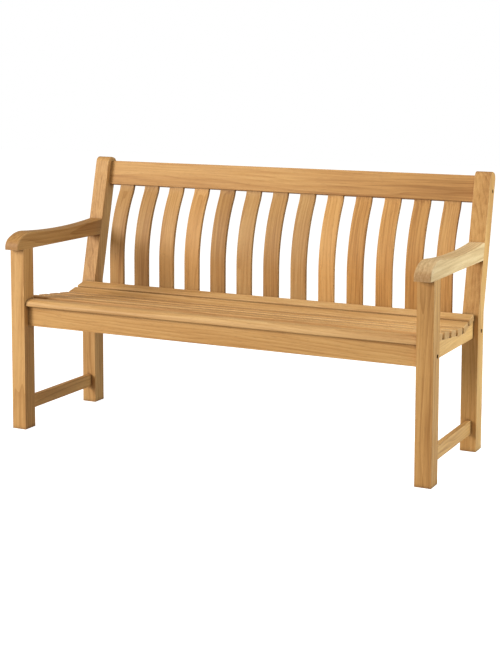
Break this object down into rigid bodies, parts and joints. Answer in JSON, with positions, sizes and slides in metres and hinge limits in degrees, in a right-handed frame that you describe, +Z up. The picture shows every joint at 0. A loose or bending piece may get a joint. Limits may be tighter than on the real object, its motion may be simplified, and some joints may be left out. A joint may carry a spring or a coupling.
{
  "type": "garden bench",
  "caption": "Hardwood garden bench with a back of bowed upright slats, a dished slatted seat, shaped arms and square legs.",
  "frame": {"origin": "centre of the whole bench's bounding box, on the ground under the feet", "axes": "+X along the bench to the right as seen by someone in front of it, +Y from the front to the back, +Z up"},
  "size_m": [1.53, 0.6328, 0.9139],
  "materials": {
    "leg_wood": "oiled hardwood, satin",
    "arm_wood": "oiled hardwood, satin",
    "rail_wood": "oiled hardwood, satin",
    "seat_wood": "oiled hardwood, satin",
    "back_wood": "oiled hardwood, satin",
    "dowel_wood": "bare beech",
    "steel": "blackened, dull"
  },
  "bodies": {
    "root": {"arm_left": "arm_wood", "arm_right": "arm_wood", "back_leg_left": "leg_wood", "back_leg_right": "leg_wood", "back_slat_01": "back_wood", "back_slat_02": "back_wood", "back_slat_03": "back_wood", "back_slat_04": "back_wood", "back_slat_05": "back_wood", "back_slat_06": "back_wood", "back_slat_07": "back_wood", "back_slat_08": "back_wood", "back_slat_09": "back_wood", "back_slat_10": "back_wood", "back_slat_11": "back_wood", "back_slat_12": "back_wood", "back_slat_13": "back_wood", "barrel_nuts": "steel", "bolt_washers": "steel", "frame_bolts": "steel", "front_leg_left": "leg_wood", "front_leg_right": "leg_wood", "front_rail": "rail_wood", "rail_dowels": "dowel_wood", "rear_rail": "rail_wood", "seat_bearer": "rail_wood", "seat_screws": "steel", "seat_slat_1": "seat_wood", "seat_slat_2": "seat_wood", "seat_slat_3": "seat_wood", "seat_slat_4": "seat_wood", "seat_slat_5": "seat_wood", "seat_slat_6": "seat_wood", "seat_slat_7": "seat_wood", "side_rail_left": "rail_wood", "side_rail_right": "rail_wood", "stretcher_left": "rail_wood", "stretcher_right": "rail_wood", "top_rail": "rail_wood"}
  },
  "joints": []
}
